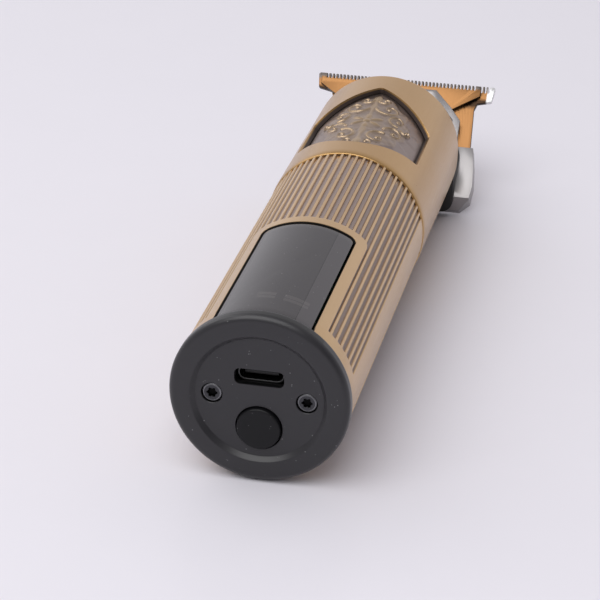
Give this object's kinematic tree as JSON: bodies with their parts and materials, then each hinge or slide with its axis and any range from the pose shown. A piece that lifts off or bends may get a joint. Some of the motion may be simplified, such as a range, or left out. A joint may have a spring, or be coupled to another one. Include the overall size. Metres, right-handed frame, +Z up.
{
  "type": "hair clipper",
  "caption": "Cordless hair clipper: ribbed metal barrel with a display window, end cap with button and charging socket, emblem head and a slanted T-shaped blade set.",
  "frame": {"origin": "on the table, under the middle of the whole clipper", "axes": "+Y along the body from the end cap to the blades, +X along the blade edge, +Z up from the table it lies on"},
  "size_m": [0.0444, 0.159, 0.0356],
  "materials": {
    "gold_shell": "satin antique gold plating on metal",
    "bronze_plate": "dark cast bronze with rubbed highlights",
    "cap_black": "fine matte moulded plastic",
    "button_black": "smooth satin plastic",
    "lens_smoke": "glossy smoked window",
    "blade_gold": "gold coated ground steel",
    "blade_silver": "polished bright metal",
    "nose_black": "black moulded plastic",
    "screw_dark": "blackened steel",
    "steel": "plain steel",
    "rubber": "soft black rubber",
    "board": "green circuit board",
    "chip": "black chip packages",
    "cell_wrap": "blue shrink sleeve",
    "carrier": "dark grey moulded plastic",
    "magnet": "sintered magnet",
    "winding": "enamelled copper winding and laminations",
    "lead": "red insulated wire"
  },
  "bodies": {
    "housing": {"end_cap": "cap_black", "cap_gasket": "rubber", "cap_screws": "screw_dark", "usb_shell": "steel", "usb_tongue": "chip", "charge_board": "board", "switch_body": "chip", "barrel": "gold_shell", "display_lens": "lens_smoke", "display_board": "board", "display_panel": "chip", "coupling_ring": "carrier", "battery_cell": "cell_wrap", "battery_tabs": "steel", "battery_cradle": "carrier", "main_board": "board", "board_chips": "chip", "head_shell": "gold_shell", "emblem_plate": "bronze_plate", "motor_can": "steel", "motor_end_cap": "carrier", "motor_bushes": "winding", "motor_magnets": "magnet", "motor_terminals": "winding", "motor_leads": "lead", "motor_mount": "carrier", "motor_screws": "steel", "fixed_blade": "blade_gold", "tension_plate": "blade_silver", "tension_spacer": "blade_silver", "tension_screws": "steel", "blade_base": "blade_silver", "blade_screws": "steel", "blade_nose": "nose_black"},
    "power_button": {"power_button": "button_black", "switch_plunger": "chip"},
    "rotor": {"motor_rotor": "winding", "motor_shaft": "steel", "eccentric_cam": "carrier"},
    "cutter": {"moving_blade": "blade_gold", "cam_follower": "nose_black"}
  },
  "joints": [
    {"name": "power_button_press", "type": "slide", "parent": "housing", "child": "power_button", "axis": [0, 1, 0], "range_m": [0, 0.0007], "stiffness_N_per_m": 2000, "springref_m": -0.0001},
    {"name": "motor_spin", "type": "hinge", "parent": "housing", "child": "rotor", "pos_m": [0, 0.04, 0.0178], "axis": [0, 1, 0], "range_deg": [0, 180]},
    {"name": "cutter_slide", "type": "slide", "parent": "housing", "child": "cutter", "axis": [1, 0, 0], "range_m": [0, 0.0024]}
  ],
  "couplings": [
    {"joint": "motor_spin", "follows": "cutter_slide", "rad_per_m": 1308.9}
  ]
}
